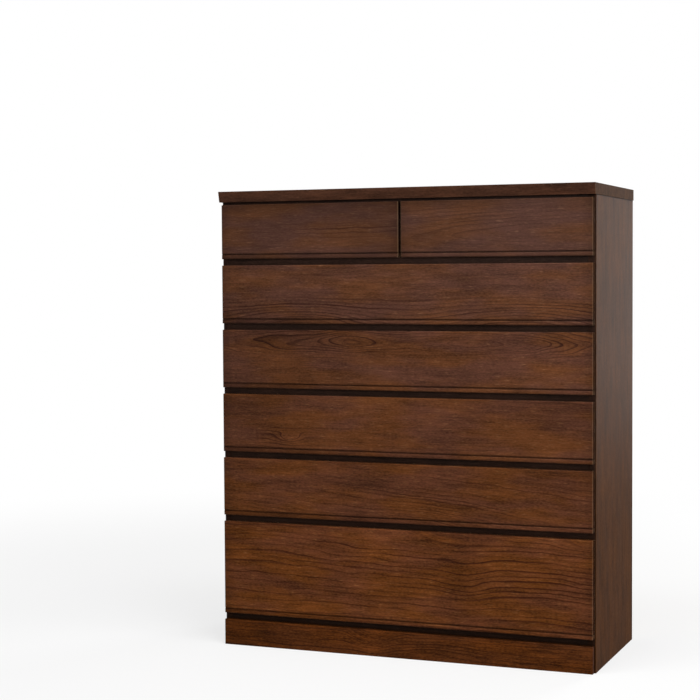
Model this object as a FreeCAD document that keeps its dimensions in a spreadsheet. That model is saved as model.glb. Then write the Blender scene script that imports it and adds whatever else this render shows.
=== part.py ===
import FreeCAD, Part
import Sketcher
import math
import operator
import os
from collections import namedtuple
from types import SimpleNamespace

# A low chest of drawers for clothes: a stained carcass on a plinth, with seven pale drawer boxes
# behind stained fronts. The fronts have no handles: the lower edge of each is a rounded lip with
# a hollow behind it for the fingers. All lengths are in millimetres. The origin is on the floor
# under the middle of the chest, with +X to the viewer's right, -Y to the front and +Z up.

SIZES = {
    # overall
    "wide": 1020,
    "deep": 440,
    # the stack of fronts, from the floor up
    "plinth_tall": 68.4,
    "finger_gap": 16.9,
    "deep_front_tall": 248,
    "front_tall": 154.2,
    "front_rows": 4,
    "upper_front_tall": 143.6,
    "top_gap": 7.4,
    "top_thick": 28.2,
    # carcass boards
    "side_thick": 20,
    "back_thick": 9,
    "back_lift": 10,
    "rebate_wide": 10,
    "divider_thick": 20,
    "plinth_rear_thick": 18,
    "panel_ease": 1.5,
    "top_overhang": 6,
    "top_slope": 6,
    "top_side_overhang": 2,
    "top_ease": 2,
    "plinth_ease": 2,
    "block_side": 28,
    # rails between the fronts, and the dust shelves behind them
    "rail_deep": 45,
    "rail_drop": 4.5,
    "rail_rise": 2,
    "tenon_long": 8,
    "tenon_inset": 3,
    "shelf_thick": 12,
    "shelf_housing": 6,
    "tongue_thick": 4,
    "tongue_long": 5,
    # drawer fronts
    "front_thick": 16,
    "front_play": 0.5,
    "end_inset": 4,
    "slit": 6.5,
    "front_ease": 2.5,
    "end_ease": 2,
    "lip_tall": 11.2,
    "lip_thick": 6.5,
    "lip_round": 2.5,
    "quirk_wide": 2.6,
    "quirk_deep": 3.2,
    "hollow_wide": 7,
    "hollow_tall": 13,
    "hollow_cover": 2,
    # drawer boxes
    "box_side_thick": 12,
    "box_back_thick": 10,
    "box_back_drop": 5,
    "box_bottom_thick": 5,
    "bottom_raise": 16,
    "bottom_play": 0.5,
    "groove_deep": 4,
    "side_play": 1.5,
    "lift_play": 0.3,
    "head_play": 1.5,
    "rear_room": 12,
    # dovetails: the slope is the sideways run per unit of length
    "dovetail_slope": 0.14,
    "tail_neck": 7.5,
    "tail_long": 6.5,
    "pin_wide": 12,
    "pins": 3,
    "deep_pins": 5,
    # dowels under the top board, and screws in the back panel
    "dowel_radius": 4,
    "dowel_long": 30,
    "dowels": 3,
    "screw_radius": 1.6,
    "screw_head_radius": 3.4,
    "screw_head_tall": 2.2,
    "screw_long": 28,
}

OPERATIONS = {"+": operator.add, "-": operator.sub, "*": operator.mul, "/": operator.truediv}


class Size:
    """A length held as a number and as the expression that ties it to the sheet."""

    def __init__(self, number, text):
        self.number = number
        self.text = text

    def __add__(self, other):
        return combine(self, "+", other)

    def __radd__(self, other):
        return combine(other, "+", self)

    def __sub__(self, other):
        return combine(self, "-", other)

    def __rsub__(self, other):
        return combine(other, "-", self)

    def __mul__(self, other):
        return combine(self, "*", other)

    def __rmul__(self, other):
        return combine(other, "*", self)

    def __truediv__(self, other):
        return combine(self, "/", other)

    def __neg__(self):
        return combine(0, "-", self)


def as_size(value):
    """The value itself if it is a Size, or a plain number made into one."""
    return value if isinstance(value, Size) else Size(value, str(value))


def combine(left, sign, right):
    """The Size that an operation on two values gives."""
    left = as_size(left)
    right = as_size(right)
    return Size(OPERATIONS[sign](left.number, right.number), f"({left.text} {sign} {right.text})")


doc = FreeCAD.newDocument("ClothingChest")
sheet = doc.addObject("Spreadsheet::Sheet", "Sizes")
for row, (size_name, size_value) in enumerate(SIZES.items(), 1):
    sheet.set(f"A{row}", size_name)
    sheet.set(f"B{row}", str(size_value))
    sheet.setAlias(f"B{row}", size_name)
doc.recompute()
dim = SimpleNamespace(**{key: Size(value, f"Sizes.{key}") for key, value in SIZES.items()})
zero = as_size(0)

# An edge of an outline starts at its own corner and ends at the next edge's corner. Where it has a
# centre it is an arc, and its turn is 1 for anticlockwise and -1 for clockwise.
Edge = namedtuple("Edge", "corner centre turn", defaults=(None, None))

# Each plane's origin feature, the axis that it faces along, and whether its normal runs that way
Plane = namedtuple("Plane", "role sign")
SIDEWAYS = Plane("YZ_Plane", 1)
LEVEL = Plane("XY_Plane", 1)

parts = []


def origin_feature(body, role):
    """One of the body's own origin planes or axes."""
    return next(item for item in body.Origin.OriginFeatures if item.Role == role)


def place(item, corner):
    """Binds an object's place to a corner given as three sizes."""
    for axis, length in zip("xyz", corner):
        item.setExpression(f"Placement.Base.{axis}", as_size(length).text)


def finish_part(item, label):
    """Names a finished sub-part and keeps it for the export."""
    item.Label = label
    parts.append(item)
    return item


def board(name, low, high):
    """A plain board between its low and high corners."""
    item = doc.addObject("Part::Box", name)
    for side, start, stop in zip(("Length", "Width", "Height"), low, high):
        item.setExpression(side, (stop - start).text)
    place(item, low)
    return item


def new_body(name, corner):
    """An empty body whose own origin stands at a corner."""
    body = doc.addObject("PartDesign::Body", name)
    place(body, corner)
    return body


def tie(sketch, kind, geometry, point, length):
    """Ties one coordinate of a sketch point to a size."""
    number = sketch.addConstraint(Sketcher.Constraint(kind, -1, 1, geometry, point, length.number))
    sketch.setExpression(f"Constraints[{number}]", length.text)


def add_edge(sketch, edge, end):
    """Draws one edge, and gives the ids of its first and last points."""
    start = FreeCAD.Vector(edge.corner[0].number, edge.corner[1].number, 0)
    stop = FreeCAD.Vector(end[0].number, end[1].number, 0)
    if edge.centre is None:
        sketch.addGeometry(Part.LineSegment(start, stop))
        return 1, 2
    middle = FreeCAD.Vector(edge.centre[0].number, edge.centre[1].number, 0)
    first, last = (start, stop) if edge.turn > 0 else (stop, start)
    circle = Part.Circle(middle, FreeCAD.Vector(0, 0, 1), (start - middle).Length)
    angles = [math.atan2(spot.y - middle.y, spot.x - middle.x) for spot in (first, last)]
    sketch.addGeometry(Part.ArcOfCircle(circle, *angles))
    return (1, 2) if edge.turn > 0 else (2, 1)


def draw(body, plane, outline, height):
    """A closed sketch on one of the body's planes, with each corner tied to the sheet."""
    sketch = body.newObject("Sketcher::SketchObject", "outline")
    sketch.AttachmentSupport = [(origin_feature(body, plane.role), "")]
    sketch.MapMode = "FlatFace"
    sketch.setExpression("AttachmentOffset.Base.z", as_size(height).text)
    corners = [tuple(as_size(value) for value in edge.corner) for edge in outline]
    edges = [edge._replace(corner=corner) for edge, corner in zip(outline, corners)]
    ends = []
    for number, edge in enumerate(edges):
        ends.append(add_edge(sketch, edge, corners[(number + 1) % len(edges)]))
    for number, edge in enumerate(edges):
        following = (number + 1) % len(edges)
        joint = Sketcher.Constraint("Coincident", number, ends[number][1], following, ends[following][0])
        sketch.addConstraint(joint)
        tie(sketch, "DistanceX", number, ends[number][0], edge.corner[0])
        tie(sketch, "DistanceY", number, ends[number][0], edge.corner[1])
        if edge.centre is not None:
            tie(sketch, "DistanceY", number, 3, edge.centre[1])
    return sketch


def polygon(*corners):
    """An outline of straight edges."""
    return [Edge(corner) for corner in corners]


def rectangle(low, high):
    """An outline between two opposite corners."""
    return polygon(low, (high[0], low[1]), high, (low[0], high[1]))


def pad(body, plane, outline, start, stop):
    """Adds an outline's solid, from one place to another along the plane's axis."""
    item = body.newObject("PartDesign::Pad", "pad")
    item.Profile = draw(body, plane, outline, start)
    item.setExpression("Length", (stop - start).text)
    body.Tip = item
    return item


def pocket(body, plane, outline, start, stop):
    """Takes an outline's solid away, from one place to another along the plane's axis."""
    doc.recompute()
    before = body.Shape.Volume
    item = body.newObject("PartDesign::Pocket", "pocket")
    item.Profile = draw(body, plane, outline, start)
    item.setExpression("Length", (stop - start).text)
    item.Reversed = True
    body.Tip = item
    doc.recompute()
    if not body.Shape.Volume < before:
        raise RuntimeError(f"{body.Name}: a pocket cuts nothing")
    return item


def repeat_upward(body, features, pitch, count):
    """Repeats features of a body at a steady pitch up the Z axis."""
    item = body.newObject("PartDesign::LinearPattern", "pattern")
    item.Originals = features
    item.Direction = (origin_feature(body, "Z_Axis"), [""])
    item.setExpression("Length", (pitch * (count - 1)).text)
    item.setExpression("Occurrences", count.text)
    body.Tip = item
    return item


def group(name, items):
    """Several solids as one sub-part."""
    item = doc.addObject("Part::Compound", name)
    item.Links = items
    return item


def cut(name, base, tool):
    """A piece with another piece's space taken out of it."""
    item = doc.addObject("Part::Cut", name)
    item.Base = base
    item.Tool = tool
    return item


# Planes and levels that several pieces share
half_wide = dim.wide / 2
rear = dim.deep / 2
face = dim.top_overhang - rear
front_back = face + dim.front_thick
carcass_front = front_back + dim.front_play
carcass_half = half_wide - dim.top_side_overhang
inner_half = carcass_half - dim.side_thick
back_face = rear - dim.back_thick
front_half = carcass_half - dim.end_inset
row_pitch = dim.front_tall + dim.finger_gap
deep_base = dim.plinth_tall + dim.finger_gap
first_row_base = deep_base + dim.deep_front_tall + dim.finger_gap
upper_base = first_row_base + dim.front_rows * row_pitch
top_base = upper_base + dim.upper_front_tall + dim.top_gap
carcass_deep = rear - carcass_front
inside_deep = back_face - carcass_front
rail_tall = dim.rail_drop + dim.finger_gap + dim.rail_rise
top_rail_tall = dim.rail_drop + dim.top_gap
shelf_long = inside_deep - dim.rail_deep
bottom_board_base = deep_base + dim.rail_rise - dim.shelf_thick


def tenon_outline(tall):
    """The section of a rail's tenons and of their mortises."""
    low = (dim.tenon_inset, dim.tenon_inset)
    return low, (dim.rail_deep - dim.tongue_long - dim.tenon_inset, tall - dim.tenon_inset)


def shifted(corners, rise):
    """Two opposite corners moved up."""
    return [(across, up + rise) for across, up in corners]


def make_rail(name, base):
    """A rail between the side panels, with a stub tenon at each end and a groove for its shelf."""
    body = new_body(name, (-inner_half, carcass_front, base))
    groove_low = rail_tall - (dim.shelf_thick + dim.tongue_thick) / 2
    groove_high = groove_low + dim.tongue_thick
    groove_back = dim.rail_deep - dim.tongue_long
    outline = polygon(
        (zero, zero), (dim.rail_deep, zero), (dim.rail_deep, groove_low), (groove_back, groove_low),
        (groove_back, groove_high), (dim.rail_deep, groove_high), (dim.rail_deep, rail_tall), (zero, rail_tall),
    )
    pad(body, SIDEWAYS, outline, zero, 2 * inner_half)
    tenons = rectangle(*tenon_outline(rail_tall))
    pad(body, SIDEWAYS, tenons, -dim.tenon_long, 2 * inner_half + dim.tenon_long)
    finish_part(body, name)


def make_top_rail():
    """The low rail that closes the shadow gap under the top board."""
    body = new_body("top_rail", (-inner_half, carcass_front, top_base - top_rail_tall))
    pad(body, SIDEWAYS, rectangle((zero, zero), (dim.rail_deep, top_rail_tall)), zero, 2 * inner_half)
    tenons = rectangle(*tenon_outline(top_rail_tall))
    pad(body, SIDEWAYS, tenons, -dim.tenon_long, 2 * inner_half + dim.tenon_long)
    finish_part(body, "top_rail")


def make_shelf(name, row_base):
    """A dust shelf behind a rail, tongued into it and housed in both side panels."""
    housed_half = inner_half + dim.shelf_housing
    base = row_base + dim.rail_rise - dim.shelf_thick
    body = new_body(name, (-housed_half, carcass_front + dim.rail_deep, base))
    tongue_low = (dim.shelf_thick - dim.tongue_thick) / 2
    tongue_high = tongue_low + dim.tongue_thick
    outline = polygon(
        (zero, zero), (shelf_long, zero), (shelf_long, dim.shelf_thick), (zero, dim.shelf_thick),
        (zero, tongue_high), (-dim.tongue_long, tongue_high), (-dim.tongue_long, tongue_low), (zero, tongue_low),
    )
    pad(body, SIDEWAYS, outline, zero, 2 * housed_half)
    finish_part(body, name)


def side_panel_outline(hand):
    """A side panel seen from above: its outer front edge eased, and its rebate for the back panel."""
    shoulder = carcass_deep - dim.back_thick
    eased = dim.side_thick - dim.panel_ease
    if hand > 0:
        return polygon(
            (zero, zero), (eased, zero), (dim.side_thick, dim.panel_ease), (dim.side_thick, carcass_deep),
            (dim.rebate_wide, carcass_deep), (dim.rebate_wide, shoulder), (zero, shoulder),
        )
    lip = dim.side_thick - dim.rebate_wide
    return polygon(
        (dim.panel_ease, zero), (dim.side_thick, zero), (dim.side_thick, shoulder),
        (lip, shoulder), (lip, carcass_deep), (zero, carcass_deep), (zero, dim.panel_ease),
    )


def make_side_panel(name, hand, fasteners):
    """A side panel down to the floor, mortised for the rails and housed for the shelves."""
    low_x = inner_half if hand > 0 else -carcass_half
    body = new_body(name + "_board", (low_x, carcass_front, zero))
    pad(body, LEVEL, side_panel_outline(hand), zero, top_base)

    def sink(corners, depth):
        start = zero if hand > 0 else dim.side_thick - depth
        return pocket(body, SIDEWAYS, rectangle(*corners), start, start + depth)

    shelf_section = [
        (dim.rail_deep - dim.tongue_long, rail_tall - dim.shelf_thick), (inside_deep, rail_tall),
    ]
    lowest_rail = deep_base + dim.rail_rise - rail_tall
    sink(shifted(tenon_outline(rail_tall), lowest_rail), dim.tenon_long)
    sink(shifted(shelf_section, lowest_rail), dim.shelf_housing)
    sink(shifted(tenon_outline(top_rail_tall), top_base - top_rail_tall), dim.tenon_long)
    first_rail = first_row_base + dim.rail_rise - rail_tall
    features = [
        sink(shifted(tenon_outline(rail_tall), first_rail), dim.tenon_long),
        sink(shifted(shelf_section, first_rail), dim.shelf_housing),
    ]
    repeat_upward(body, features, row_pitch, dim.front_rows + 1)
    finish_part(cut(name, body, fasteners), name)


def make_top_board(dowels):
    """The top board, whose front face slopes back towards the drawer fronts."""
    body = new_body("top_board_blank", (-half_wide, -rear, top_base))
    outline = [
        Edge((dim.top_slope, zero)),
        Edge((dim.deep, zero)),
        Edge((dim.deep, dim.top_thick)),
        Edge((dim.top_ease, dim.top_thick), (dim.top_ease, dim.top_thick - dim.top_ease), 1),
        Edge((zero, dim.top_thick - dim.top_ease)),
    ]
    pad(body, SIDEWAYS, outline, zero, dim.wide)
    finish_part(cut("top_board", body, dowels), "top_board")


def make_plinth():
    """The plinth board in front, the rail behind it at the back, and the glue blocks in its corners."""
    body = new_body("plinth_front", (-front_half, face, zero))
    thick = carcass_front - face
    outline = [
        Edge((zero, zero)),
        Edge((thick, zero)),
        Edge((thick, dim.plinth_tall)),
        Edge((dim.plinth_ease, dim.plinth_tall), (dim.plinth_ease, dim.plinth_tall - dim.plinth_ease), 1),
        Edge((zero, dim.plinth_tall - dim.plinth_ease)),
    ]
    pad(body, SIDEWAYS, outline, zero, 2 * front_half)
    finish_part(body, "plinth_front")
    low = (-inner_half, back_face - dim.plinth_rear_thick, zero)
    high = (inner_half, back_face, bottom_board_base)
    finish_part(board("plinth_rear", low, high), "plinth_rear")
    block_top = deep_base + dim.rail_rise - rail_tall
    rear_block_low = back_face - dim.plinth_rear_thick - dim.block_side
    blocks = []
    for number, low_x in enumerate((-inner_half, inner_half - dim.block_side)):
        for low_y in (carcass_front, rear_block_low):
            low = (low_x, low_y, zero)
            high = (low_x + dim.block_side, low_y + dim.block_side, block_top)
            blocks.append(board(f"plinth_block_{number}", low, high))
    finish_part(group("plinth_blocks", blocks), "plinth_blocks")


def make_divider():
    """The upright between the two upper drawers, notched round the top rail."""
    base = upper_base + dim.rail_rise
    tall = top_base - base
    notch = tall - top_rail_tall
    body = new_body("centre_divider", (-dim.divider_thick / 2, carcass_front, base))
    outline = polygon(
        (zero, zero), (inside_deep, zero), (inside_deep, tall), (dim.rail_deep, tall),
        (dim.rail_deep, notch), (zero, notch),
    )
    pad(body, SIDEWAYS, outline, zero, dim.divider_thick)
    finish_part(body, "centre_divider")


def make_dowels():
    """Dowels that join the top board to the side panels, half in each."""
    dowels = []
    for hand in (-1, 1):
        for number in range(SIZES["dowels"]):
            dowel = doc.addObject("Part::Cylinder", "dowel")
            dowel.setExpression("Radius", dim.dowel_radius.text)
            dowel.setExpression("Height", dim.dowel_long.text)
            along = carcass_front + carcass_deep * (2 * number + 1) / (2 * dim.dowels)
            place(dowel, (hand * (carcass_half - dim.side_thick / 2), along, top_base - dim.dowel_long / 2))
            dowels.append(dowel)
    return finish_part(group("top_dowels", dowels), "top_dowels")


def make_screw(across, up):
    """A countersunk wood screw, driven forward through the back panel."""
    forward = FreeCAD.Rotation(FreeCAD.Vector(1, 0, 0), 90)
    shank = doc.addObject("Part::Cylinder", "shank")
    shank.setExpression("Radius", dim.screw_radius.text)
    shank.setExpression("Height", (dim.screw_long - dim.screw_head_tall).text)
    head = doc.addObject("Part::Cone", "head")
    head.setExpression("Radius1", dim.screw_head_radius.text)
    head.setExpression("Radius2", dim.screw_radius.text)
    head.setExpression("Height", dim.screw_head_tall.text)
    for item, start in ((shank, rear - dim.screw_head_tall), (head, rear)):
        item.Placement = FreeCAD.Placement(FreeCAD.Vector(0, 0, 0), forward)
        place(item, (across, start, up))
    screw = doc.addObject("Part::Fuse", "screw")
    screw.Base = shank
    screw.Tool = head
    return screw


def make_screws():
    """The screws along both long edges of the back panel, level with the middles of drawers."""
    levels = [
        deep_base + dim.deep_front_tall / 2,
        first_row_base + row_pitch + dim.front_tall / 2,
        upper_base + dim.upper_front_tall / 2,
    ]
    screws = []
    for hand in (-1, 1):
        across = hand * (inner_half + dim.rebate_wide / 2)
        for level in levels:
            screws.append(make_screw(across, level))
    return finish_part(group("back_panel_screws", screws), "back_panel_screws")


def make_back_panel(screws):
    """The back panel in the side panels' rebates."""
    panel_half = inner_half + dim.rebate_wide
    blank = board("back_panel_blank", (-panel_half, back_face, dim.back_lift), (panel_half, rear, top_base))
    finish_part(cut("back_panel", blank, screws), "back_panel")


# A drawer, given by its name, its front's left and right ends, its opening's left and right sides,
# the height of its front's lower edge, the front's height, and how many pins its back corners have
Drawer = namedtuple("Drawer", "name front_left front_right left right base tall pins")

box_long = back_face - dim.rear_room - front_back
box_lift = dim.rail_rise + dim.lift_play
bottom_top = dim.bottom_raise + dim.box_bottom_thick


def box_tall(drawer):
    """The height of a drawer's sides."""
    return drawer.tall - box_lift - dim.rail_drop - dim.head_play


def front_outline(tall):
    """A front seen from its end: the face with its quirk and lip, and the finger hollow under it."""
    hollow_back = dim.lip_thick + dim.hollow_wide
    hollow_spring = dim.hollow_tall - dim.hollow_wide / 2
    quirk_top = dim.lip_tall + dim.quirk_wide
    return [
        Edge((dim.lip_round, zero)),
        Edge((dim.lip_thick, zero)),
        Edge((dim.lip_thick, hollow_spring), (dim.lip_thick + dim.hollow_wide / 2, hollow_spring), -1),
        Edge((hollow_back, hollow_spring)),
        Edge((hollow_back, zero)),
        Edge((dim.front_thick, zero)),
        Edge((dim.front_thick, tall)),
        Edge((dim.front_ease, tall), (dim.front_ease, tall - dim.front_ease), 1),
        Edge((zero, tall - dim.front_ease)),
        Edge((zero, quirk_top)),
        Edge((dim.quirk_deep, quirk_top)),
        Edge((dim.quirk_deep, dim.lip_tall), (dim.quirk_deep, dim.lip_tall - dim.quirk_deep), 1),
        Edge((zero, dim.lip_tall - dim.quirk_deep)),
        Edge((zero, dim.lip_round), (dim.lip_round, dim.lip_round), 1),
    ]


def tail_outline(centre, shoulder):
    """A sliding dovetail seen from above, widening forward from the shoulder."""
    neck = dim.tail_neck / 2
    tip = neck + dim.tail_long * dim.dovetail_slope
    end = shoulder - dim.tail_long
    return polygon((centre - neck, shoulder), (centre - tip, end), (centre + tip, end), (centre + neck, shoulder))


def pin_pitch(drawer):
    """The distance between the pins at a drawer's back corners."""
    return (box_tall(drawer) - dim.box_back_drop - bottom_top) / drawer.pins


def pin_outline(centre, inner):
    """A pin seen from the side, narrowing backward from the back board's inner face."""
    outer = inner + dim.box_back_thick
    wide = dim.pin_wide / 2
    narrow = wide - dim.box_back_thick * dim.dovetail_slope
    return polygon((inner, centre - wide), (outer, centre - narrow), (outer, centre + narrow), (inner, centre + wide))


def make_front(drawer):
    """A drawer front, with a dovetail socket for each side and a groove for the bottom."""
    name = drawer.name + "_front"
    body = new_body(name, (drawer.front_left, face, drawer.base))
    wide = drawer.front_right - drawer.front_left
    pad(body, SIDEWAYS, front_outline(drawer.tall), zero, wide)
    for end, inward in ((zero, dim.end_ease), (wide, -dim.end_ease)):
        corner = polygon((end, zero), (end + inward, zero), (end, dim.end_ease))
        pocket(body, LEVEL, corner, zero, drawer.tall)
    left = drawer.left + dim.side_play - drawer.front_left
    right = drawer.right - dim.side_play - drawer.front_left
    for centre in (left + dim.box_side_thick / 2, right - dim.box_side_thick / 2):
        pocket(body, LEVEL, tail_outline(centre, dim.front_thick), zero, box_lift + box_tall(drawer))
    groove = rectangle(
        (dim.front_thick - dim.groove_deep, box_lift + dim.bottom_raise), (dim.front_thick, box_lift + bottom_top),
    )
    reach = dim.box_side_thick - dim.groove_deep
    pocket(body, SIDEWAYS, groove, left + reach, right - reach)
    finish_part(body, name)


def make_box_side(drawer, hand):
    """A drawer side: a sliding dovetail in front, sockets for the back's pins, and a groove inside."""
    name = drawer.name + ("_right_side" if hand > 0 else "_left_side")
    thick = dim.box_side_thick
    tall = box_tall(drawer)
    low_x = drawer.right - dim.side_play - thick if hand > 0 else drawer.left + dim.side_play
    body = new_body(name, (low_x, front_back, drawer.base + box_lift))
    pad(body, SIDEWAYS, rectangle((zero, zero), (box_long, tall)), zero, thick)
    pad(body, LEVEL, tail_outline(thick / 2, zero), dim.hollow_tall + dim.hollow_cover - box_lift, tall)
    groove_low = zero if hand > 0 else thick - dim.groove_deep
    groove = rectangle((-dim.tail_long, dim.bottom_raise), (box_long, bottom_top))
    pocket(body, SIDEWAYS, groove, groove_low, groove_low + dim.groove_deep)
    pitch = pin_pitch(drawer)
    socket = pin_outline(bottom_top + pitch / 2, box_long - dim.box_back_thick)
    first = pocket(body, SIDEWAYS, socket, zero, thick)
    repeat_upward(body, [first], pitch, drawer.pins)
    finish_part(body, name)


def make_box_back(drawer):
    """A drawer's back board, with pins at both ends that fill the sides' sockets."""
    name = drawer.name + "_back"
    thick = dim.box_side_thick
    low_x = drawer.left + dim.side_play + thick
    inner_wide = drawer.right - dim.side_play - thick - low_x
    low_y = front_back + box_long - dim.box_back_thick
    body = new_body(name, (low_x, low_y, drawer.base + box_lift + bottom_top))
    tall = box_tall(drawer) - dim.box_back_drop - bottom_top
    pad(body, SIDEWAYS, rectangle((zero, zero), (dim.box_back_thick, tall)), zero, inner_wide)
    pitch = pin_pitch(drawer)
    first = pad(body, SIDEWAYS, pin_outline(pitch / 2, zero), -thick, inner_wide + thick)
    repeat_upward(body, [first], pitch, drawer.pins)
    finish_part(body, name)


def make_box_bottom(drawer):
    """A drawer's bottom panel, slid into the grooves from behind under the back board."""
    name = drawer.name + "_bottom"
    reach = dim.side_play + dim.box_side_thick - dim.groove_deep + dim.bottom_play
    base = drawer.base + box_lift + dim.bottom_raise
    low = (drawer.left + reach, front_back - dim.groove_deep, base)
    high = (drawer.right - reach, front_back + box_long, base + dim.box_bottom_thick)
    finish_part(board(name, low, high), name)


def full_drawer(name, base, tall, pins):
    """A drawer as wide as the chest."""
    return Drawer(name, -front_half, front_half, -inner_half, inner_half, base, tall, pins)


def upper_drawer(name, hand):
    """One of the two half-width drawers beside the divider."""
    inner_end = hand * dim.slit / 2
    divider = hand * dim.divider_thick / 2
    ends = sorted([(inner_end, divider), (hand * front_half, hand * inner_half)], key=lambda end: end[0].number)
    (front_left, left), (front_right, right) = ends
    return Drawer(name, front_left, front_right, left, right, upper_base, dim.upper_front_tall, dim.pins)


row_names = ["fifth_drawer", "fourth_drawer", "third_drawer", "second_drawer"]
drawers = [full_drawer("deep_drawer", deep_base, dim.deep_front_tall, dim.deep_pins)]
for number, row_name in enumerate(row_names):
    drawers.append(full_drawer(row_name, first_row_base + number * row_pitch, dim.front_tall, dim.pins))
drawers.append(upper_drawer("upper_left_drawer", -1))
drawers.append(upper_drawer("upper_right_drawer", 1))

top_dowels = make_dowels()
back_screws = make_screws()
fasteners = group("carcass_fasteners", [top_dowels, back_screws])
make_side_panel("left_side_panel", -1, fasteners)
make_side_panel("right_side_panel", 1, fasteners)
make_top_board(top_dowels)
make_back_panel(back_screws)
make_plinth()
make_divider()
make_top_rail()
make_rail("bottom_rail", deep_base + dim.rail_rise - rail_tall)
make_shelf("bottom_board", deep_base)
for number in range(len(row_names) + 1):
    row_base = first_row_base + number * row_pitch
    count_from_top = len(row_names) + 1 - number
    make_rail(f"front_rail_{count_from_top}", row_base + dim.rail_rise - rail_tall)
    make_shelf(f"dust_shelf_{count_from_top}", row_base)
for drawer in drawers:
    make_front(drawer)
    make_box_side(drawer, -1)
    make_box_side(drawer, 1)
    make_box_back(drawer)
    make_box_bottom(drawer)

doc.recompute()
for item in doc.Objects:
    if "Invalid" in item.State or "Error" in item.State:
        raise RuntimeError(f"{item.Name} failed: {item.State}")
for item in parts:
    if item.Shape.isNull() or not item.Shape.isValid():
        raise RuntimeError(f"{item.Label} has no valid shape")

os.makedirs("parts", exist_ok=True)
for item in parts:
    item.Shape.exportStep(f"parts/{item.Label}.step")
print(len(parts), "sub-parts written")
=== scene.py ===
import math
from collections import namedtuple

import bpy
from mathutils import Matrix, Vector


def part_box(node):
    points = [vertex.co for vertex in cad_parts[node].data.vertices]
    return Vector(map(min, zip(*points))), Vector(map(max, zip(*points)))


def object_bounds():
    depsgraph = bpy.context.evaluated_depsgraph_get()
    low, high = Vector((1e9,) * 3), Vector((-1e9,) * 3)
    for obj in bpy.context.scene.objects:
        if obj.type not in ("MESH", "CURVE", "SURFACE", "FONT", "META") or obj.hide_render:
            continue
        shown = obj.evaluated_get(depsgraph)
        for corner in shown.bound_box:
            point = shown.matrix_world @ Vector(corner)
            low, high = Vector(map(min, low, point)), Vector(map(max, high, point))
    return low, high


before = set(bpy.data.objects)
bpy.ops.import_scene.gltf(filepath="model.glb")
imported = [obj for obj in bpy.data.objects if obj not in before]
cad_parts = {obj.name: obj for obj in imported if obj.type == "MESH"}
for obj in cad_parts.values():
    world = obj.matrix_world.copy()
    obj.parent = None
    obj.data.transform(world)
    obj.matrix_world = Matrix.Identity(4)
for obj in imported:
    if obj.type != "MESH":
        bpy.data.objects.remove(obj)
cad_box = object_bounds()

# The camera of the photograph, as the edges of the chest give it: metres, degrees and millimetres
CAMERA_PLACE = (1.4725, -4.2464, 0.9922)
CAMERA_ANGLES = (87.42, 0.334, 21.746)
CAMERA_LENS = 86.237
CAMERA_SENSOR = 36.0

# Light: each lamp is aimed at the chest, with its size in metres and its power in watts
Lamp = namedtuple("Lamp", "name place aim size power")
LAMPS = (
    Lamp("key", (2.5, -3.0, 2.5), (0.0, 0.0, 0.7), (1.8, 1.8), 66),
    Lamp("front", (-0.5, -4.2, 1.9), (0.2, 0.0, 0.8), (0.9, 1.2), 30),
    Lamp("overhead", (0.3, -0.75, 3.2), (0.0, -0.2, 0.9), (2.2, 0.8), 64),
    Lamp("back_right", (1.2, 3.3, 1.65), (0.5, 0.0, 1.2), (1.0, 2.8), 66),
)

# How brightly the white surround lights the chest, where 1 is as bright as it looks
AMBIENT = 0.3

# The floor: half its length, how pale it is under the lamps, how much of its look near the chest the
# lamps and shadows make, and how far out that begins to fade and is gone
FLOOR_HALF = 12.0
FLOOR_PALE = (0.8, 0.8, 0.8, 1.0)
SHADOW_SHARE = 0.3
SHADOW_REACH = (0.9, 3.5)

# The boards that are stained in their own way
FRONTS = [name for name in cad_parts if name.endswith("_drawer_front")]
SIDE_PANELS = ("left_side_panel", "right_side_panel")

# The planes that the stain ends at: the back of the fronts, the face of the rails, and the inside of
# the side panels, where the shelves' ends are housed
FRONT_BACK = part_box("deep_drawer_front")[1].y
RAIL_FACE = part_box("front_rail_1")[0].y
HOUSING_DEEP = 0.006
PANEL_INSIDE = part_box("dust_shelf_1")[1].x - HOUSING_DEEP
CHEST_TALL = cad_box[1].z

# The stain changes between half of this and the whole of it from such a plane
STAIN_EDGE = 0.0006

# A front is darker near its ends, and the stain is darkest on the end grain itself, which is rough
END_SHADE = 0.22
END_REACH = 0.035
END_GRAIN_SHADE = 0.4
END_GRAIN_ROUGHNESS = 0.95

# A painted highlight on the small chamfer at each end of a front, where the stain is thinned to
# show a light line: where that begins and is full, as distances from the end, and how much of the
# stain is missing
CHAMFER = (0.0022, 0.0016)
CHAMFER_PAINTED_HIGHLIGHT = 0.09

# Painted shade at the foot of a front: in the groove over its lip, where shade falls in the recess, on
# the lip under the groove, most towards the left end, which the light from the right reaches less, and
# on the lower edge, which faces down. Each has how dark it is and the heights, or the places along the
# front, that it begins or ends between
GROOVE_PAINTED_SHADE = 0.45
GROOVE_FOOT = (0.0088, 0.0118)
GROOVE_HEAD = (0.0175, 0.0134)
LIP_PAINTED_SHADE = 0.3
LIP_HEAD = (0.0112, 0.0105)
LIP_ENDS = (0.12, -0.45)
FOOT_PAINTED_SHADE = 0.35
FOOT_HEAD = (0.005, 0.0)

# Painted shade in the crease between a side panel and the top board: how dark it is, and how far under
# the top board it begins and is full
JOINT_PAINTED_SHADE = 0.6
JOINT_REACH = (0.0028, 0.0014)

# The wide bare boards are glued up from strips: the boards, by a part of their names, the strips'
# width, how dark a glued joint is and how wide, how much the strips differ in lightness and in where
# the heart of the log lay, and how far each is moved along its grain from the one beside it
GLUED = ("back_panel", "bottom_board", "dust_shelf", "_drawer_bottom")
STRIP = 0.094
GLUE_SHADE = 0.35
GLUE_WIDE = 0.0005
STRIP_DARKEST = 0.86
STRIP_SPREAD = 0.28
STRIP_HEARTS = 0.16
STRIP_STEP = 1.37

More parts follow.
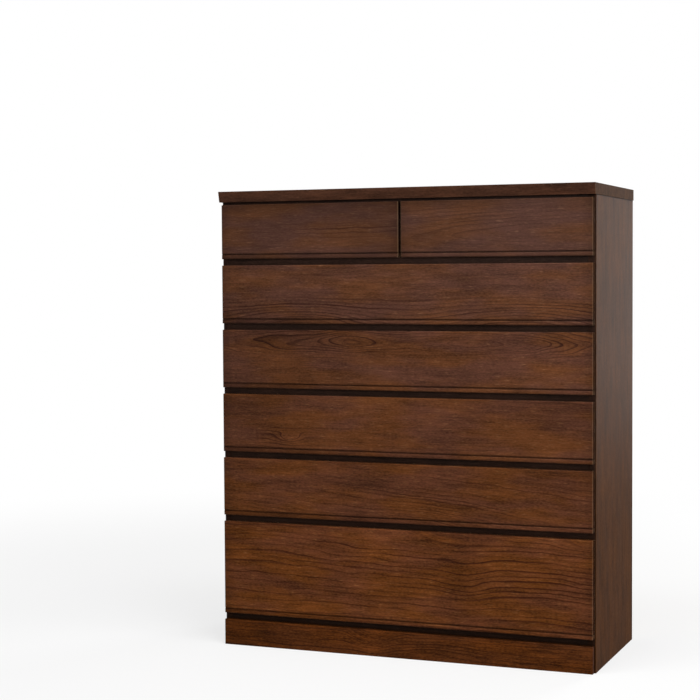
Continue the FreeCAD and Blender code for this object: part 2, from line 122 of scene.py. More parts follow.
# How strongly and how roughly a board mirrors its surround: bare boards, the fronts and their rails,
# the side panels, which are seen at a low angle, and the top board
Gloss = namedtuple("Gloss", "level roughness")
BARE_GLOSS = Gloss(0.3, 0.6)
STAINED_GLOSS = Gloss(0.022, 0.32)
SIDE_GLOSS = Gloss(0.0072, 0.55)
TOP_GLOSS = Gloss(0.003, 0.6)

# The noises in a wood: how many to the metre along the grain, across it and through it, how finely
# each is broken up, what it adds to the board's seed, and how much it lightens the wood, or for the
# pores darkens it. In the first place, the bands, the lines' own strengths and their unevenness count
# growth lines, and the strips count strips
Noise = namedtuple("Noise", "scales detail seed weight", defaults=(1.0,))
STREAKS = Noise((24.0, 290.0, 290.0), 3.0, 17, 0.65)
BANDS = Noise((1.9, 5.0, 0.0), 2.0, 41, 0.6)
CLOUDS = Noise((4.0, 14.0, 14.0), 2.0, 37, 0.6)
MOTTLE = Noise((15.0, 62.0, 62.0), 2.0, 43, 0.9)
GRIT = Noise((130.0, 380.0, 380.0), 1.0, 53)
PORES = Noise((55.0, 1300.0, 1300.0), 1.0, 29, 0.16)
FLECKS = Noise((44.0, 480.0, 480.0), 1.0, 23)
PATCHES = Noise((5.0, 18.0, 18.0), 2.0, 31)
STRENGTHS = Noise((7.3, 1.7, 0.0), 0.0, 0)
STRIPS = Noise((3.7, 0.0, 0.0), 0.0, 61)
ZINC = Noise((900.0, 900.0, 900.0), 2.0, 3)

# What the weighted noises come to on average, and the ranges of the others that become 0 to 1
FIBRE_MIDDLE = 1.87
FLECK_RANGE = (0.56, 0.8)
PORE_RANGE = (0.64, 0.78)
PATCH_RANGE = (0.36, 0.64)
STRENGTH_RANGE = (0.36, 0.62)

# How growth lines wander: slowly, quickly and unevenly from line to line, each with its weight
SLOW = Noise((1.7, 5.0, 5.0), 1.0, 0)
QUICK = Noise((10.0, 34.0, 34.0), 1.0, 5, 0.8)
UNEVEN = Noise((0.8, 0.9, 0.0), 1.0, 13, 0.9)

# A growth line: the shares of a year's growth that it darkens between, and ends between, and the
# strength of the faintest
LINE_START = (0.6, 0.9)
LINE_END = (1.0, 0.95)
LINE_LEAST = 0.35

# How strong the flecks are, and on bare wood the lines, the fibre and the light
FLECK_STRENGTH = 0.4
BARE_LINES = 0.6
BARE_FIBRE = 0.35
BARE_TONE = 0.9

# The relief of the grain: its strength and depth, and the weights of the streaks, lines and pores.
# The streaks also make the surface more and less rough
RELIEF_STRENGTH = 0.25
RELIEF_DEEP = 0.0003
RELIEF_STREAKS = 0.6
RELIEF_LINES = 0.3
RELIEF_PORES = 0.6
STREAK_ROUGHNESS = 0.16

# Zinc plate: its roughness where it is brightest, and how much that varies
ZINC_ROUGHNESS = 0.28
ZINC_ROUGHNESS_SPREAD = 0.2

# The small rounding of sharp edges, by node, the angle over which an edge is sharp, how near points
# are joined, and the angle under which faces are joined into a flat one
EASE = 0.0003
EASES = {"top_board": 0.0018, "plinth_front": 0.001, "left_side_panel": 0.0008,
         "right_side_panel": 0.0008}
EASE_SEGMENTS = 2
SHARP = math.radians(32)
WELD_REACH = 1e-5
FLAT = math.radians(0.5)

# The sockets of a Mix node that hold colours
MIX_SHARE, MIX_FIRST, MIX_SECOND, MIX_RESULT = 0, 6, 7, 2


def srgb(red, green, blue):
    """A colour as the eye names it, from 0 to 255, turned into the light that it stands for."""
    def light(part):
        share = part / 255
        return share / 12.92 if share <= 0.04045 else ((share + 0.055) / 1.055) ** 2.4
    return light(red), light(green), light(blue), 1.0


# The colours of a wood: its body, the tint of its warmer patches, its growth lines and its flecks
Palette = namedtuple("Palette", "body warm line fleck")
# The upper fronts' colours are greyer partly as a painted sheen of the white surround
STAINED_HIGH_PAINTED_SHEEN = Palette(srgb(74, 49, 41), srgb(80, 50, 33), srgb(46, 27, 21), srgb(114, 84, 64))
STAINED_LOW = Palette(srgb(84, 45, 22), srgb(90, 48, 15), srgb(54, 25, 10), srgb(130, 86, 46))
STAINED_TOP = Palette(srgb(60, 38, 28), srgb(66, 41, 29), srgb(40, 25, 18), srgb(88, 62, 46))
STAINED_TOP_END = Palette(srgb(70, 47, 31), srgb(76, 50, 31), srgb(50, 32, 21), srgb(96, 70, 50))
STAINED_PLINTH = Palette(srgb(71, 37, 15), srgb(80, 41, 13), srgb(44, 20, 8), srgb(102, 62, 30))
STAINED_SIDE = Palette(srgb(71, 43, 23), srgb(77, 45, 20), srgb(54, 32, 17), srgb(92, 62, 40))
# Rails: painted shade of the finger gaps, lighter in the upper, more lit gaps, darker in the lower
RAIL_PAINTED_SHADE_HIGH = Palette(srgb(50, 35, 29), srgb(53, 36, 29), srgb(38, 25, 20), srgb(62, 47, 38))
RAIL_PAINTED_SHADE_LOW = Palette(srgb(32, 19, 12), srgb(35, 20, 12), srgb(24, 13, 8), srgb(44, 30, 22))
BARE = Palette(srgb(206, 178, 140), srgb(198, 164, 122), srgb(158, 124, 88), srgb(222, 198, 164))
BEECH = Palette(srgb(206, 168, 120), srgb(196, 152, 104), srgb(160, 116, 76), srgb(222, 188, 146))
ZINC_LIGHT = srgb(196, 198, 196)
ZINC_DARK = srgb(150, 152, 150)

# A zone of a board, from the board's middle: its place and half-length along and across the grain in
# metres, and its strength
Zone = namedtuple("Zone", "along across long tall lift")

# A board's figure. The heart of its log lies so far from the board's middle across the face and in
# depth, and that depth and place change along the grain by taper and slope. Growth lines are a pitch
# apart and wander by so many of them, drawn by a seed. Calm is how clear they are on the whole. Then
# come the zones that push lines, by so many of them, the zones where they are clearer, the zones that
# are lighter or darker, which are mostly the board's own tone but on the fronts also hold painted
# shade and painted shadow, and the contrast of the whole
Figure = namedtuple(
    "Figure",
    "heart_across heart_depth taper pitch wander seed slope calm swells clears shades contrast",
    defaults=(0.0, 0.3, (), (), (), 1.0))

# The axes of a board: along its grain, across it and through it
FACING = ("x", "z", "y")
LYING = ("x", "y", "z")
UPRIGHT = ("z", "y", "x")
ENDWAYS = ("y", "z", "x")

# A board: its axes, where it is stained, as a function of the chest's axes, and its bare colours
Board = namedtuple("Board", "axes stain palette", defaults=(None, BARE))


class Field:
    """A number that a material works out at each point of a surface."""

    def __init__(self, tree, socket):
        self.tree = tree
        self.socket = socket

    def __add__(self, other):
        return calculate(self.tree, "ADD", self, other)

    def __sub__(self, other):
        return calculate(self.tree, "SUBTRACT", self, other)

    def __rsub__(self, other):
        return calculate(self.tree, "SUBTRACT", other, self)

    def __mul__(self, other):
        return calculate(self.tree, "MULTIPLY", self, other)

    def __truediv__(self, other):
        return calculate(self.tree, "DIVIDE", self, other)

    def __abs__(self):
        return calculate(self.tree, "ABSOLUTE", self)

    __radd__ = __add__
    __rmul__ = __mul__


def plug(tree, socket, value):
    """Gives a socket a field, another node's socket or a constant."""
    if isinstance(value, Field):
        tree.links.new(value.socket, socket)
    elif isinstance(value, bpy.types.NodeSocket):
        tree.links.new(value, socket)
    else:
        socket.default_value = value


def calculate(tree, operation, *values):
    """The result of a sum on fields and numbers."""
    node = tree.nodes.new("ShaderNodeMath")
    node.operation = operation
    for socket, value in zip(node.inputs, values):
        plug(tree, socket, value)
    return Field(tree, node.outputs[0])


def smooth(field, low, high):
    """0 below low, 1 above high and an easy curve between. Where low is above high, it is 1 below high
    and 0 above low."""
    node = field.tree.nodes.new("ShaderNodeMapRange")
    node.interpolation_type = "SMOOTHSTEP"
    plug(field.tree, node.inputs["Value"], field)
    node.inputs["From Min"].default_value = low
    node.inputs["From Max"].default_value = high
    return Field(field.tree, node.outputs["Result"])


def noise(point, kind, seed):
    """A kind of noise at a point, from 0 to 1 and about 0.5 on average."""
    tree = point[0].tree
    join = tree.nodes.new("ShaderNodeCombineXYZ")
    for socket, part, scale in zip(join.inputs, point, kind.scales):
        plug(tree, socket, part * scale + (seed + kind.seed))
    node = tree.nodes.new("ShaderNodeTexNoise")
    node.inputs["Scale"].default_value = 1.0
    node.inputs["Detail"].default_value = kind.detail
    tree.links.new(join.outputs[0], node.inputs["Vector"])
    return Field(tree, node.outputs["Fac"])


def mixed(tree, share, first, second):
    """A colour between two, by a share that may be a field."""
    node = tree.nodes.new("ShaderNodeMix")
    node.data_type = "RGBA"
    plug(tree, node.inputs[MIX_SHARE], share)
    plug(tree, node.inputs[MIX_FIRST], first)
    plug(tree, node.inputs[MIX_SECOND], second)
    return node.outputs[MIX_RESULT]


def scaled(tree, colour, share):
    """A colour made lighter or darker by a field."""
    node = tree.nodes.new("ShaderNodeVectorMath")
    node.operation = "SCALE"
    tree.links.new(colour, node.inputs[0])
    plug(tree, node.inputs["Scale"], share)
    return node.outputs[0]


def new_material(name):
    """An empty material, its nodes, its surface shader, and the point that it is worked out at."""
    material = bpy.data.materials.new(name)
    material.use_nodes = True
    tree = material.node_tree
    spot = tree.nodes.new("ShaderNodeTexCoord")
    split = tree.nodes.new("ShaderNodeSeparateXYZ")
    tree.links.new(spot.outputs["Object"], split.inputs[0])
    axes = {axis: Field(tree, split.outputs[axis.upper()]) for axis in "xyz"}
    return material, tree, tree.nodes["Principled BSDF"], axes


def zones(point, places):
    """The strength of a figure's zones at a point, added up."""
    total = 0.0
    for zone in places:
        far = (point[0] - zone.along) / zone.long
        high = (point[1] - zone.across) / zone.tall
        bell = calculate(point[0].tree, "EXPONENT", (far * far + high * high) * -1)
        total = total + zone.lift * bell
    return total


def growth(point, figure):
    """How many growth lines lie between the heart of the log and a point of the board."""
    along, across, depth = point
    sideways = across - figure.heart_across - along * figure.slope
    inward = depth - figure.heart_depth - along * figure.taper
    radius = calculate(along.tree, "SQRT", sideways * sideways + inward * inward)
    slow = noise(point, SLOW, figure.seed) - 0.5
    quick = noise(point, QUICK, figure.seed) - 0.5
    lines = radius / figure.pitch + slow * figure.wander + quick * (QUICK.weight * figure.wander)
    lines = lines + zones(point, figure.swells)
    uneven = noise((lines, along, across), UNEVEN, figure.seed)
    return lines + (uneven - 0.5) * UNEVEN.weight


# The grain of a board at a point: the strengths of its warm patches, growth lines, flecks, streaks
# and pores, and its fibre, which is over 1 where the wood is lighter
Grain = namedtuple("Grain", "patch line fleck streak pores fibre")


def grain_at(point, figure):
    """The grain of a board at a point."""
    along, across = point[:2]
    tree, seed = along.tree, figure.seed
    lines = growth(point, figure)
    turn = calculate(tree, "FRACT", lines)
    count = calculate(tree, "FLOOR", lines)
    own = smooth(noise((count, along, across), STRENGTHS, seed), *STRENGTH_RANGE)
    # A node adds these, since a figure without zones has a plain 0 here and smooth takes a field
    clear = calculate(tree, "ADD", zones(point, figure.clears), figure.calm)
    line = smooth(turn, *LINE_START) * smooth(turn, *LINE_END)
    line = line * (LINE_LEAST + own * (1 - LINE_LEAST)) * smooth(clear, 0.0, 1.0)
    streak = noise(point, STREAKS, seed)
    pores = smooth(noise(point, PORES, seed), *PORE_RANGE)
    fibre = streak * STREAKS.weight + noise((lines, along, across), BANDS, seed) * BANDS.weight
    for kind in (CLOUDS, MOTTLE, GRIT):
        fibre = fibre + noise(point, kind, seed) * kind.weight
    fibre = fibre - pores * PORES.weight - FIBRE_MIDDLE
    return Grain(
        patch=smooth(noise(point, PATCHES, seed), *PATCH_RANGE),
        line=line,
        fleck=smooth(noise(point, FLECKS, seed), *FLECK_RANGE) * FLECK_STRENGTH,
        streak=streak,
        pores=pores,
        fibre=1 + fibre * figure.contrast)


def paint(tree, palette, grain):
    """The colour of a wood, from its palette and grain."""
    colour = mixed(tree, grain.patch, palette.body, palette.warm)
    colour = mixed(tree, grain.fleck, colour, palette.fleck)
    colour = mixed(tree, grain.line, colour, palette.line)
    return scaled(tree, colour, grain.fibre)


def blended(first, second, share):
    """A palette between two."""
    return Palette(*(tuple(a + (b - a) * share for a, b in zip(*pair))
                     for pair in zip(first, second)))


def stained_palette(node):
    """The stain's colours on a board: the fronts are warmer towards the floor and greyer upwards with
    painted sheen, the rails' painted shade darker towards the floor.
    """
    if node == "top_board":
        return STAINED_TOP
    if node == "plinth_front":
        return STAINED_PLINTH
    if node in SIDE_PANELS:
        return STAINED_SIDE
    low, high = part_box(node)
    pair = (STAINED_LOW, STAINED_HIGH_PAINTED_SHEEN) if node in FRONTS else (RAIL_PAINTED_SHADE_LOW, RAIL_PAINTED_SHADE_HIGH)
    return blended(*pair, (low.z + high.z) / 2 / CHEST_TALL)


def near_ends(axes, node, first, last):
    """1 near a board's ends and 0 further in. First and last are the distances from an end that it
    changes between."""
    low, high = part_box(node)
    middle, half = (low.x + high.x) / 2, (high.x - low.x) / 2
    return smooth(abs(axes["x"] - middle), half - first, half - last)


def end_grain(axes, node):
    """1 on the end grain of a front and 0 elsewhere."""
    return near_ends(axes, node, STAIN_EDGE / 2, STAIN_EDGE / 4)


def front_shade(axes, node):
    """The share of its colour that a front keeps: less near its ends, with painted shade at its foot.
    """
    low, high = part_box(node)
    near_low = smooth(axes["x"], low.x, low.x + END_REACH)
    near_high = smooth(axes["x"], high.x, high.x - END_REACH)
    up = axes["z"] - low.z
    # Painted shade in the groove, on the lip towards the left end, and on the lower edge
    groove = smooth(up, *GROOVE_FOOT) * smooth(up, *GROOVE_HEAD)
    lip = smooth(up, *LIP_HEAD) * smooth(axes["x"], *LIP_ENDS)
    foot = smooth(up, *FOOT_HEAD)
    ends = 1 - END_SHADE + near_low * near_high * END_SHADE
    ends = ends * (1 - end_grain(axes, node) * END_GRAIN_SHADE)
    return ends * (1 - groove * GROOVE_PAINTED_SHADE) * (1 - foot * FOOT_PAINTED_SHADE) * (1 - lip * LIP_PAINTED_SHADE)


def joint_shade(axes, node):
    """The share of its colour that a side panel keeps: less under the top board, as painted shade."""
    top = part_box(node)[1].z
    return 1 - smooth(axes["z"], *[top - reach for reach in JOINT_REACH]) * JOINT_PAINTED_SHADE


def rail_face(axes):
    """1 on the plane of the rails' faces and 0 behind it: a rail or divider is stained there alone."""
    return smooth(axes["y"], RAIL_FACE + STAIN_EDGE, RAIL_FACE + STAIN_EDGE / 2)


def stained_colour(tree, node, axes, grain):
    """The colour of a board's stained sides. The top board's ends are paler, and a side panel's front
    edge takes the rails' colours, as painted shade in the corner beside the fronts' ends."""
    colour = paint(tree, stained_palette(node), grain)
    if node == "top_board":
        wide = cad_box[1].x
        end = smooth(abs(axes["x"]), wide - STAIN_EDGE * 2, wide - STAIN_EDGE)
        return mixed(tree, end, colour, paint(tree, STAINED_TOP_END, grain))
    if node in SIDE_PANELS:
        # The rails' painted shade on the side panel's front edge
        low, high = paint(tree, RAIL_PAINTED_SHADE_LOW, grain), paint(tree, RAIL_PAINTED_SHADE_HIGH, grain)
        rail = mixed(tree, axes["z"] / CHEST_TALL, low, high)
        return mixed(tree, rail_face(axes), colour, rail)
    return colour


def glued_up(point, seed):
    """The point within its own strip of a glued-up board, and the share of light the strip keeps."""
    along, across, depth = point
    strip = calculate(along.tree, "FLOOR", across / STRIP)
    inside = across - (strip + 0.5) * STRIP
    draw = noise((strip, along, depth), STRIPS, seed)
    joint = smooth(abs(inside), STRIP / 2 - GLUE_WIDE, STRIP / 2)
    light = (1 - joint * GLUE_SHADE) * (STRIP_DARKEST + draw * STRIP_SPREAD)
    return (along + strip * STRIP_STEP, inside + (draw - 0.5) * STRIP_HEARTS, depth), light


def gloss_of(node, stain):
    """How strongly and how roughly a board mirrors its surround."""
    if stain is None:
        return BARE_GLOSS
    if node == "top_board":
        return TOP_GLOSS
    return SIDE_GLOSS if node in SIDE_PANELS else STAINED_GLOSS


def wood(node, board, figure):
    """A board's own wood, bare or stained."""
    material, tree, shader, axes = new_material(node + "_wood")
    low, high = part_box(node)
    middle = (low + high) / 2
    point = [axes[axis] - getattr(middle, axis) for axis in board.axes]
    strip_light = 1.0
    if any(word in node for word in GLUED):
        point, strip_light = glued_up(point, figure.seed)
    grain = grain_at(point, figure)
    tone = (BARE_TONE + (grain.fibre - 1) * BARE_FIBRE) * strip_light
    colour = paint(tree, board.palette, grain._replace(line=grain.line * BARE_LINES, fibre=tone))
    gloss = gloss_of(node, board.stain)
    roughness = gloss.roughness + (grain.streak - 0.5) * STREAK_ROUGHNESS
    if board.stain:
        share = board.stain(axes)
        # The figure's shades: the board's own tone, with painted shade and shadow on some fronts
        fibre = grain.fibre * (1 + zones(point, figure.shades))
        if node in FRONTS:
            fibre = fibre * front_shade(axes, node)
            # Painted highlight: the stain is thinned on the end chamfers so that they show a light
            # line
            chamfer = near_ends(axes, node, *CHAMFER) * (1 - end_grain(axes, node))
            share = share * (1 - chamfer * CHAMFER_PAINTED_HIGHLIGHT)
            rougher = END_GRAIN_ROUGHNESS - gloss.roughness
            roughness = roughness + end_grain(axes, node) * rougher
        # Painted shade under the top board on a side panel
        if node in SIDE_PANELS:
            fibre = fibre * joint_shade(axes, node)
        stained = stained_colour(tree, node, axes, grain._replace(fibre=fibre))
        colour = mixed(tree, share, colour, stained)
    tree.links.new(colour, shader.inputs["Base Color"])
    plug(tree, shader.inputs["Roughness"], roughness)
    shader.inputs["Specular IOR Level"].default_value = gloss.level
    relief = tree.nodes.new("ShaderNodeBump")
    relief.inputs["Strength"].default_value = RELIEF_STRENGTH
    relief.inputs["Distance"].default_value = RELIEF_DEEP
    height = (grain.streak * RELIEF_STREAKS - grain.line * RELIEF_LINES
              - grain.pores * RELIEF_PORES)
    plug(tree, relief.inputs["Height"], height)
    tree.links.new(relief.outputs[0], shader.inputs["Normal"])
    return material


def metal(name):
    """Zinc plate with a faint grain."""
    material, tree, shader, axes = new_material(name)
    cloud = noise([axes[axis] for axis in "xyz"], ZINC, 0.0)
    tree.links.new(mixed(tree, cloud, ZINC_LIGHT, ZINC_DARK), shader.inputs["Base Color"])
    shader.inputs["Metallic"].default_value = 1.0
    roughness = ZINC_ROUGHNESS + cloud * ZINC_ROUGHNESS_SPREAD
    plug(tree, shader.inputs["Roughness"], roughness)
    return material


def everywhere(axes):
    """A stain over the whole board."""
    return 1.0


def front_stain(axes):
    """A drawer front is stained on its face and edges, and bare on its back."""
    return smooth(axes["y"], FRONT_BACK - STAIN_EDGE / 2, FRONT_BACK - STAIN_EDGE)


def panel_stain(axes):
    """A side panel is stained outside and on its front edge, and bare inside."""
    outer = smooth(abs(axes["x"]), PANEL_INSIDE + STAIN_EDGE / 2, PANEL_INSIDE + STAIN_EDGE)
    return calculate(outer.tree, "MAXIMUM", outer, rail_face(axes))


# The wide zones at the fronts' and plinth's left ends are partly tone, partly painted shade
FIGURES = {
    "upper_left_drawer_front": Figure(
        heart_across=-0.16, heart_depth=0.05, taper=0.02, pitch=0.010, wander=1.4, seed=2.0,
        slope=0.03, calm=0.2, contrast=0.6,
        swells=(Zone(0.12, -0.01, 0.16, 0.02, 0.8),),
        clears=(Zone(0.12, 0.0, 0.18, 0.02, 0.5),),
        shades=(Zone(-0.15, 0.05, 0.2, 0.04, -0.08), Zone(0.0, -0.03, 0.12, 0.03, 0.1),
                # Along the top edge: painted shadow of the top board; the wide left zone: tone and
                # painted shade
                Zone(0.0, 0.076, 1.0, 0.022, -0.3), Zone(-0.2, 0.0, 0.4, 1.0, -0.15),
                Zone(0.25, 0.0, 0.16, 1.0, -0.2))),
    "upper_right_drawer_front": Figure(
        heart_across=-0.016, heart_depth=-0.0255, taper=0.07, pitch=0.0085, wander=1.0, seed=31.0,
        slope=0.02, calm=0.2, contrast=0.6,
        clears=(Zone(-0.1, 0.02, 0.3, 0.05, 0.3),),
        # The zone along the top edge is a painted shadow of the top board
        shades=(Zone(0.12, -0.02, 0.18, 0.04, 0.08), Zone(0.0, 0.076, 1.0, 0.022, -0.3),
                Zone(-0.3, 0.0, 0.2, 1.0, -0.12))),
    "second_drawer_front": Figure(
        heart_across=-0.2, heart_depth=0.05, taper=0.02, pitch=0.013, wander=1.2, seed=47.0,
        slope=0.0, calm=0.18,
        swells=(Zone(-0.27, -0.085, 0.16, 0.05, -5.0), Zone(0.33, -0.085, 0.2, 0.055, -5.0),
                Zone(-0.05, 0.04, 0.14, 0.03, 0.9)),
        clears=(Zone(-0.29, -0.05, 0.26, 0.035, 1.4), Zone(0.3, -0.05, 0.28, 0.035, 1.4)),
        shades=(Zone(0.2, 0.04, 0.07, 0.03, -0.2), Zone(0.1, 0.0, 0.06, 0.04, 0.14),
                Zone(0.0, 0.045, 0.06, 0.03, -0.1), Zone(-0.5, 0.0, 0.3, 1.0, -0.14),
                Zone(0.42, 0.0, 0.2, 1.0, 0.06))),
    "third_drawer_front": Figure(
        heart_across=0.047, heart_depth=0.011, taper=0.0, pitch=0.0058, wander=2.8, seed=59.0,
        slope=0.0, calm=0.1,
        swells=(Zone(-0.14, 0.052, 0.08, 0.03, -2.2), Zone(0.215, 0.046, 0.13, 0.03, -2.6),
                Zone(-0.64, 0.045, 0.24, 0.06, 5.0), Zone(0.64, 0.045, 0.22, 0.06, 5.0)),
        clears=(Zone(0.0, 0.05, 1.2, 0.03, 1.3),),
        shades=(Zone(-0.3, 0.05, 0.16, 0.03, -0.18), Zone(0.37, -0.01, 0.2, 0.05, 0.16),
                Zone(0.17, -0.04, 0.06, 0.02, -0.16), Zone(-0.5, 0.0, 0.35, 1.0, -0.16))),
    "fourth_drawer_front": Figure(
        heart_across=-0.24, heart_depth=0.05, taper=0.02, pitch=0.010, wander=1.4, seed=71.0,
        slope=0.0, calm=0.2,
        swells=(Zone(-0.31, -0.036, 0.036, 0.014, 2.3),),
        clears=(Zone(-0.33, -0.036, 0.06, 0.026, 1.1), Zone(0.4, 0.045, 0.1, 0.03, 0.5)),
        shades=(Zone(-0.45, 0.05, 0.12, 0.04, -0.14), Zone(0.42, 0.04, 0.1, 0.04, -0.18),
                Zone(-0.305, -0.036, 0.03, 0.011, 0.45), Zone(-0.5, 0.0, 0.25, 1.0, -0.12))),
    "fifth_drawer_front": Figure(
        heart_across=-0.22, heart_depth=0.05, taper=0.0, pitch=0.010, wander=1.4, seed=83.0,
        slope=-0.09, calm=0.28, contrast=1.15,
        swells=(Zone(0.05, -0.085, 0.13, 0.04, -3.0), Zone(0.42, -0.03, 0.14, 0.04, 1.6)),
        clears=(Zone(0.2, 0.0, 0.35, 0.05, 0.4), Zone(0.05, -0.06, 0.14, 0.03, 0.5)),
        shades=(Zone(0.43, 0.05, 0.1, 0.03, -0.16), Zone(-0.25, -0.04, 0.12, 0.03, 0.12),
                Zone(-0.1, 0.03, 0.08, 0.02, -0.12), Zone(0.0, 0.0, 1.0, 1.0, -0.08))),
    "deep_drawer_front": Figure(
        heart_across=-0.3, heart_depth=0.05, taper=0.0, pitch=0.0135, wander=1.4, seed=97.0,
        slope=-0.02, calm=0.7, contrast=1.25,
        swells=(Zone(-0.37, 0.07, 0.17, 0.07, -1.2), Zone(-0.04, 0.124, 0.14, 0.02, -2.4),
                Zone(0.175, -0.01, 0.06, 0.1, 0.9), Zone(0.36, 0.0, 0.18, 0.1, -1.2),
                Zone(0.5, 0.11, 0.09, 0.02, 2.2)),
        clears=(Zone(0.0, 0.11, 0.2, 0.03, 0.8), Zone(0.33, 0.02, 0.2, 0.08, 0.3)),
        shades=(Zone(0.16, -0.01, 0.035, 0.07, -0.2), Zone(-0.45, 0.1, 0.1, 0.05, -0.12),
                Zone(-0.05, 0.122, 0.12, 0.012, 0.12), Zone(-0.05, 0.0, 0.22, 1.0, 0.1))),
    "plinth_front": Figure(
        heart_across=-0.12, heart_depth=0.05, taper=0.0, pitch=0.009, wander=1.4, seed=103.0,
        slope=0.0, calm=0.6, contrast=1.5,
        swells=(Zone(-0.085, 0.045, 0.05, 0.05, 6.0), Zone(0.1, -0.01, 0.1, 0.03, -1.4)),
        clears=(Zone(-0.09, 0.0, 0.16, 0.05, 0.8),),
        shades=(Zone(-0.5, 0.0, 0.14, 0.1, -0.3), Zone(-0.085, 0.0, 0.04, 0.05, 0.3))),
    "top_board": Figure(
        heart_across=0.30, heart_depth=-0.10, taper=0.02, pitch=0.012, wander=1.6, seed=113.0),
    "left_side_panel": Figure(
        heart_across=0.05, heart_depth=0.08, taper=0.03, pitch=0.011, wander=1.4, seed=127.0,
        calm=0.2),
    "right_side_panel": Figure(
        heart_across=-0.06, heart_depth=-0.09, taper=-0.03, pitch=0.011, wander=1.4, seed=139.0,
        calm=0.2),
    "centre_divider": Figure(
        heart_across=0.2, heart_depth=0.05, taper=0.02, pitch=0.009, wander=1.2, seed=149.0),
}


def plain_figure(number):
    """The figure of a board of no special look, different for each number."""
    return Figure(
        heart_across=0.11 + 0.02 * (number % 5), heart_depth=0.05, taper=0.01 * (number % 3 - 1),
        pitch=0.009, wander=1.4, seed=160.0 + 9 * number)


def board_of(node):
    """How the wood of a CAD node lies, where it is stained, and its bare colours."""
    if node in FRONTS:
        return Board(FACING, front_stain)
    if node == "plinth_front":
        return Board(FACING, everywhere)
    if node == "top_board":
        return Board(LYING, everywhere)
    if node in SIDE_PANELS:
        return Board(UPRIGHT, panel_stain)
    if node == "centre_divider":
        return Board(ENDWAYS, rail_face)
    if "rail" in node:
        return Board(FACING, rail_face)
    if node == "top_dowels":
        return Board(UPRIGHT, palette=BEECH)
    if node == "plinth_blocks":
        return Board(UPRIGHT)
    if node.endswith(("_left_side", "_right_side")):
        return Board(ENDWAYS)
    if node.endswith("_bottom") or node.startswith("dust_shelf") or node == "bottom_board":
        return Board(LYING)
    return Board(FACING)


def dress():
    """Gives each CAD node its own material."""
    for number, (node, item) in enumerate(sorted(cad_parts.items())):
        item.data.materials.clear()
        if node == "back_panel_screws":
            item.data.materials.append(metal("zinc_plate"))
        else:
            figure = FIGURES.get(node, plain_figure(number))
            item.data.materials.append(wood(node, board_of(node), figure))


def make_smoother():
    """Node geometry that shades a surface smooth, apart from its sharp edges."""
    tree = bpy.data.node_groups.new("smooth_by_angle", "GeometryNodeTree")
    for way in ("INPUT", "OUTPUT"):
        tree.interface.new_socket("Geometry", in_out=way, socket_type="NodeSocketGeometry")
    start = tree.nodes.new("NodeGroupInput")
    end = tree.nodes.new("NodeGroupOutput")
    plain = tree.nodes.new("GeometryNodeRemoveAttribute")
    plain.inputs["Name"].default_value = "custom_normal"
    angle = tree.nodes.new("GeometryNodeInputMeshEdgeAngle")
    sharp = tree.nodes.new("FunctionNodeCompare")
    sharp.inputs["B"].default_value = SHARP
    tree.links.new(angle.outputs["Unsigned Angle"], sharp.inputs["A"])
    faces = tree.nodes.new("GeometryNodeSetShadeSmooth")
    edges = tree.nodes.new("GeometryNodeSetShadeSmooth")
    edges.domain = "EDGE"
    edges.inputs["Shade Smooth"].default_value = False
    tree.links.new(start.outputs[0], plain.inputs["Geometry"])
    tree.links.new(plain.outputs[0], faces.inputs["Geometry"])
    tree.links.new(faces.outputs[0], edges.inputs["Geometry"])
    tree.links.new(sharp.outputs["Result"], edges.inputs["Selection"])
    tree.links.new(edges.outputs[0], end.inputs[0])
    return tree


def ease_edges(node, item, smoother):
    """Rounds a node's sharp edges a little and shades its curves smooth, with modifiers alone."""
    weld = item.modifiers.new("weld", "WELD")
    weld.merge_threshold = WELD_REACH
    flat = item.modifiers.new("flat", "DECIMATE")
    flat.decimate_type = "DISSOLVE"
    flat.angle_limit = FLAT
    item.modifiers.new("smooth", "NODES").node_group = smoother
    bevel = item.modifiers.new("ease", "BEVEL")
    bevel.width = EASES.get(node, EASE)
    bevel.segments = EASE_SEGMENTS
    bevel.limit_method = "ANGLE"
    bevel.angle_limit = SHARP
    bevel.harden_normals = True


def seen_directly(tree):
    """1 for rays from the camera and for reflections, and 0 for the light that falls on the chest."""
    path = tree.nodes.new("ShaderNodeLightPath")
    camera, glossy, clear = [Field(tree, path.outputs[f"Is {kind} Ray"])
                             for kind in ("Camera", "Glossy", "Transmission")]
    return calculate(tree, "MAXIMUM", calculate(tree, "MAXIMUM", camera, glossy), clear)


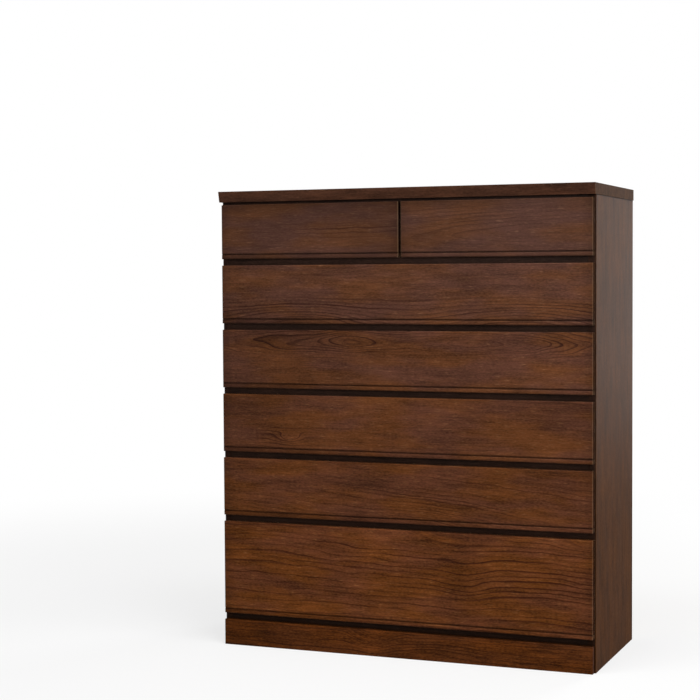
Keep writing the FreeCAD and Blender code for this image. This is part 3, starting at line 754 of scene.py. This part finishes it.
def make_floor():
    """A white floor that keeps the chest's shadow near it and is plain white further out."""
    mesh = bpy.data.meshes.new("floor")
    half = FLOOR_HALF
    corners = [(-half, -half, 0), (half, -half, 0), (half, half, 0), (-half, half, 0)]
    mesh.from_pydata(corners, [], [(0, 1, 2, 3)])
    floor = bpy.data.objects.new("floor", mesh)
    bpy.context.scene.collection.objects.link(floor)
    material = bpy.data.materials.new("floor_white")
    material.use_nodes = True
    tree = material.node_tree
    tree.nodes.clear()
    spot = tree.nodes.new("ShaderNodeTexCoord")
    length = tree.nodes.new("ShaderNodeVectorMath")
    length.operation = "LENGTH"
    tree.links.new(spot.outputs["Object"], length.inputs[0])
    far = smooth(Field(tree, length.outputs["Value"]), *SHADOW_REACH)
    share = seen_directly(tree) * (far * SHADOW_SHARE + (1 - SHADOW_SHARE))
    matt = tree.nodes.new("ShaderNodeBsdfDiffuse")
    matt.inputs["Color"].default_value = FLOOR_PALE
    white = tree.nodes.new("ShaderNodeEmission")
    mix = tree.nodes.new("ShaderNodeMixShader")
    for socket, value in zip(mix.inputs, (share, matt.outputs[0], white.outputs[0])):
        plug(tree, socket, value)
    out = tree.nodes.new("ShaderNodeOutputMaterial")
    tree.links.new(mix.outputs[0], out.inputs["Surface"])
    mesh.materials.append(material)


def make_world():
    """A white surround: plain white where it is seen, and softer as light on the chest."""
    world = bpy.data.worlds.new("surround")
    bpy.context.scene.world = world
    world.use_nodes = True
    tree = world.node_tree
    back = tree.nodes["Background"]
    back.inputs["Color"].default_value = (1, 1, 1, 1)
    plug(tree, back.inputs["Strength"], seen_directly(tree) * (1 - AMBIENT) + AMBIENT)


def make_lamp(lamp):
    """A soft rectangular lamp."""
    light = bpy.data.lights.new(lamp.name, "AREA")
    light.shape = "RECTANGLE"
    light.size, light.size_y = lamp.size
    light.energy = lamp.power
    item = bpy.data.objects.new(lamp.name, light)
    bpy.context.scene.collection.objects.link(item)
    item.location = lamp.place
    aim = Vector(lamp.aim) - Vector(lamp.place)
    item.rotation_euler = aim.to_track_quat("-Z", "Y").to_euler()


def make_camera():
    """The photograph's camera."""
    data = bpy.data.cameras.new("camera")
    data.sensor_width = CAMERA_SENSOR
    data.lens = CAMERA_LENS
    camera = bpy.data.objects.new("camera", data)
    bpy.context.scene.collection.objects.link(camera)
    camera.location = CAMERA_PLACE
    camera.rotation_euler = [math.radians(angle) for angle in CAMERA_ANGLES]
    bpy.context.scene.camera = camera


dress()
smoother = make_smoother()
for node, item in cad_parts.items():
    ease_edges(node, item, smoother)
make_floor()
make_world()
for lamp in LAMPS:
    make_lamp(lamp)
make_camera()
bpy.context.scene.view_settings.view_transform = "Standard"
